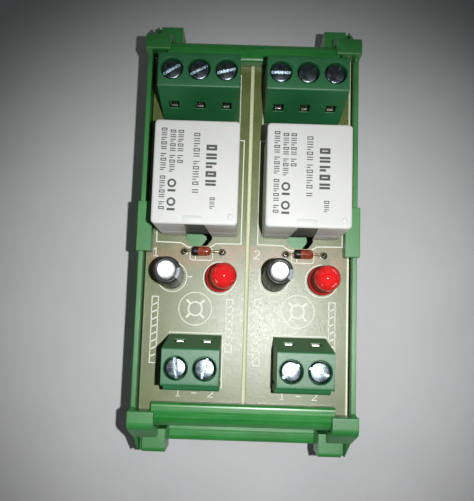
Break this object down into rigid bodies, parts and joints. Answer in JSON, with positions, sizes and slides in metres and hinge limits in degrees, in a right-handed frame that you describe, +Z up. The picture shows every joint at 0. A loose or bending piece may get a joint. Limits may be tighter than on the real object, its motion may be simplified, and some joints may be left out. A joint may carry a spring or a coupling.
{
  "type": "relay interface module",
  "caption": "Relay interface module: sugar-cube relays, screw terminals, LEDs and capacitors on a split board in a green DIN-rail carrier.",
  "frame": {"origin": "centre of the footprint at the plane of the rail feet", "axes": "+X across the two channels, +Y from the coil-side terminals to the contact-side terminals, +Z up from the feet to the board"},
  "size_m": [0.0438, 0.09, 0.0463],
  "materials": {
    "carrier_plastic": "semi-gloss extruded and moulded green plastic",
    "board_mask": "olive solder mask on glass-fibre laminate with white component outlines",
    "terminal_plastic": "fine-textured green polyamide",
    "plated_steel": "zinc-plated steel",
    "tinned_copper": "tinned copper alloy",
    "relay_case": "off-white slightly translucent plastic",
    "relay_base": "beige plastic",
    "coil_winding": "enamelled copper wire on a bobbin",
    "contact_silver": "silver alloy on copper spring",
    "capacitor_sleeve": "black shrink sleeve with bare aluminium top",
    "led_red": "clear red epoxy",
    "diode_glass": "amber-red glass with black cathode band"
  },
  "bodies": {
    "module": {"carrier_profile": "carrier_plastic", "end_cover_left": "carrier_plastic", "end_cover_right": "carrier_plastic", "circuit_board": "board_mask", "output_terminal_1": "terminal_plastic", "contact_bar_output_1a": "tinned_copper", "contact_bar_output_1b": "tinned_copper", "contact_bar_output_1c": "tinned_copper", "coil_terminal_1": "terminal_plastic", "contact_bar_coil_1a": "tinned_copper", "contact_bar_coil_1b": "tinned_copper", "output_terminal_2": "terminal_plastic", "contact_bar_output_2a": "tinned_copper", "contact_bar_output_2b": "tinned_copper", "contact_bar_output_2c": "tinned_copper", "coil_terminal_2": "terminal_plastic", "contact_bar_coil_2a": "tinned_copper", "contact_bar_coil_2b": "tinned_copper", "relay_cover_1": "relay_case", "relay_base_1": "relay_base", "relay_coil_1": "coil_winding", "relay_yoke_1": "plated_steel", "contact_nc_1": "contact_silver", "contact_no_1": "contact_silver", "capacitor_1": "capacitor_sleeve", "led_1": "led_red", "diode_1": "diode_glass", "relay_cover_2": "relay_case", "relay_base_2": "relay_base", "relay_coil_2": "coil_winding", "relay_yoke_2": "plated_steel", "contact_nc_2": "contact_silver", "contact_no_2": "contact_silver", "capacitor_2": "capacitor_sleeve", "led_2": "led_red", "diode_2": "diode_glass"},
    "screw_output_1a": {"clamp_screw_output_1a": "plated_steel"},
    "cage_output_1a": {"clamp_cage_output_1a": "plated_steel"},
    "screw_output_1b": {"clamp_screw_output_1b": "plated_steel"},
    "cage_output_1b": {"clamp_cage_output_1b": "plated_steel"},
    "screw_output_1c": {"clamp_screw_output_1c": "plated_steel"},
    "cage_output_1c": {"clamp_cage_output_1c": "plated_steel"},
    "screw_coil_1a": {"clamp_screw_coil_1a": "plated_steel"},
    "cage_coil_1a": {"clamp_cage_coil_1a": "plated_steel"},
    "screw_coil_1b": {"clamp_screw_coil_1b": "plated_steel"},
    "cage_coil_1b": {"clamp_cage_coil_1b": "plated_steel"},
    "screw_output_2a": {"clamp_screw_output_2a": "plated_steel"},
    "cage_output_2a": {"clamp_cage_output_2a": "plated_steel"},
    "screw_output_2b": {"clamp_screw_output_2b": "plated_steel"},
    "cage_output_2b": {"clamp_cage_output_2b": "plated_steel"},
    "screw_output_2c": {"clamp_screw_output_2c": "plated_steel"},
    "cage_output_2c": {"clamp_cage_output_2c": "plated_steel"},
    "screw_coil_2a": {"clamp_screw_coil_2a": "plated_steel"},
    "cage_coil_2a": {"clamp_cage_coil_2a": "plated_steel"},
    "screw_coil_2b": {"clamp_screw_coil_2b": "plated_steel"},
    "cage_coil_2b": {"clamp_cage_coil_2b": "plated_steel"},
    "armature_1": {"relay_armature_1": "plated_steel"},
    "armature_2": {"relay_armature_2": "plated_steel"},
    "latch_left": {"rail_latch_left": "carrier_plastic"},
    "latch_right": {"rail_latch_right": "carrier_plastic"}
  },
  "joints": [
    {"name": "screw_turn_output_1a", "type": "hinge", "parent": "module", "child": "screw_output_1a", "pos_m": [-0.01524, 0.02777, 0.043], "axis": [0, 0, -1], "range_deg": [0, 2401]},
    {"name": "cage_rise_output_1a", "type": "slide", "parent": "module", "child": "cage_output_1a", "axis": [0, 0, 1], "range_m": [0, 0.003]},
    {"name": "screw_turn_output_1b", "type": "hinge", "parent": "module", "child": "screw_output_1b", "pos_m": [-0.01016, 0.02777, 0.043], "axis": [0, 0, -1], "range_deg": [0, 2401]},
    {"name": "cage_rise_output_1b", "type": "slide", "parent": "module", "child": "cage_output_1b", "axis": [0, 0, 1], "range_m": [0, 0.003]},
    {"name": "screw_turn_output_1c", "type": "hinge", "parent": "module", "child": "screw_output_1c", "pos_m": [-0.00508, 0.02777, 0.043], "axis": [0, 0, -1], "range_deg": [0, 2401]},
    {"name": "cage_rise_output_1c", "type": "slide", "parent": "module", "child": "cage_output_1c", "axis": [0, 0, 1], "range_m": [0, 0.003]},
    {"name": "screw_turn_coil_1a", "type": "hinge", "parent": "module", "child": "screw_coil_1a", "pos_m": [-0.0122, -0.02697, 0.043], "axis": [0, 0, -1], "range_deg": [0, 2401]},
    {"name": "cage_rise_coil_1a", "type": "slide", "parent": "module", "child": "cage_coil_1a", "axis": [0, 0, 1], "range_m": [0, 0.003]},
    {"name": "screw_turn_coil_1b", "type": "hinge", "parent": "module", "child": "screw_coil_1b", "pos_m": [-0.00712, -0.02697, 0.043], "axis": [0, 0, -1], "range_deg": [0, 2401]},
    {"name": "cage_rise_coil_1b", "type": "slide", "parent": "module", "child": "cage_coil_1b", "axis": [0, 0, 1], "range_m": [0, 0.003]},
    {"name": "screw_turn_output_2a", "type": "hinge", "parent": "module", "child": "screw_output_2a", "pos_m": [0.00508, 0.02777, 0.043], "axis": [0, 0, -1], "range_deg": [0, 2401]},
    {"name": "cage_rise_output_2a", "type": "slide", "parent": "module", "child": "cage_output_2a", "axis": [0, 0, 1], "range_m": [0, 0.003]},
    {"name": "screw_turn_output_2b", "type": "hinge", "parent": "module", "child": "screw_output_2b", "pos_m": [0.01016, 0.02777, 0.043], "axis": [0, 0, -1], "range_deg": [0, 2401]},
    {"name": "cage_rise_output_2b", "type": "slide", "parent": "module", "child": "cage_output_2b", "axis": [0, 0, 1], "range_m": [0, 0.003]},
    {"name": "screw_turn_output_2c", "type": "hinge", "parent": "module", "child": "screw_output_2c", "pos_m": [0.01524, 0.02777, 0.043], "axis": [0, 0, -1], "range_deg": [0, 2401]},
    {"name": "cage_rise_output_2c", "type": "slide", "parent": "module", "child": "cage_output_2c", "axis": [0, 0, 1], "range_m": [0, 0.003]},
    {"name": "screw_turn_coil_2a", "type": "hinge", "parent": "module", "child": "screw_coil_2a", "pos_m": [0.00812, -0.02697, 0.043], "axis": [0, 0, -1], "range_deg": [0, 2401]},
    {"name": "cage_rise_coil_2a", "type": "slide", "parent": "module", "child": "cage_coil_2a", "axis": [0, 0, 1], "range_m": [0, 0.003]},
    {"name": "screw_turn_coil_2b", "type": "hinge", "parent": "module", "child": "screw_coil_2b", "pos_m": [0.0132, -0.02697, 0.043], "axis": [0, 0, -1], "range_deg": [0, 2401]},
    {"name": "cage_rise_coil_2b", "type": "slide", "parent": "module", "child": "cage_coil_2b", "axis": [0, 0, 1], "range_m": [0, 0.003]},
    {"name": "armature_pull_1", "type": "hinge", "parent": "module", "child": "armature_1", "pos_m": [-0.00986, 0.0017, 0.0435], "axis": [-1, 0, 0], "range_deg": [0, 2.4], "stiffness_Nm_per_rad": 0.02, "springref_deg": -8.59},
    {"name": "armature_pull_2", "type": "hinge", "parent": "module", "child": "armature_2", "pos_m": [0.01046, 0.0017, 0.0435], "axis": [-1, 0, 0], "range_deg": [0, 2.4], "stiffness_Nm_per_rad": 0.02, "springref_deg": -8.59},
    {"name": "latch_slide_left", "type": "slide", "parent": "module", "child": "latch_left", "axis": [0, 1, 0], "range_m": [0, 0.0025], "stiffness_N_per_m": 600, "springref_m": -0.001},
    {"name": "latch_slide_right", "type": "slide", "parent": "module", "child": "latch_right", "axis": [0, 1, 0], "range_m": [0, 0.0025], "stiffness_N_per_m": 600, "springref_m": -0.001}
  ],
  "couplings": [
    {"joint": "screw_turn_output_1a", "follows": "cage_rise_output_1a", "rad_per_m": 13963},
    {"joint": "screw_turn_output_1b", "follows": "cage_rise_output_1b", "rad_per_m": 13963},
    {"joint": "screw_turn_output_1c", "follows": "cage_rise_output_1c", "rad_per_m": 13963},
    {"joint": "screw_turn_coil_1a", "follows": "cage_rise_coil_1a", "rad_per_m": 13963},
    {"joint": "screw_turn_coil_1b", "follows": "cage_rise_coil_1b", "rad_per_m": 13963},
    {"joint": "screw_turn_output_2a", "follows": "cage_rise_output_2a", "rad_per_m": 13963},
    {"joint": "screw_turn_output_2b", "follows": "cage_rise_output_2b", "rad_per_m": 13963},
    {"joint": "screw_turn_output_2c", "follows": "cage_rise_output_2c", "rad_per_m": 13963},
    {"joint": "screw_turn_coil_2a", "follows": "cage_rise_coil_2a", "rad_per_m": 13963},
    {"joint": "screw_turn_coil_2b", "follows": "cage_rise_coil_2b", "rad_per_m": 13963}
  ]
}
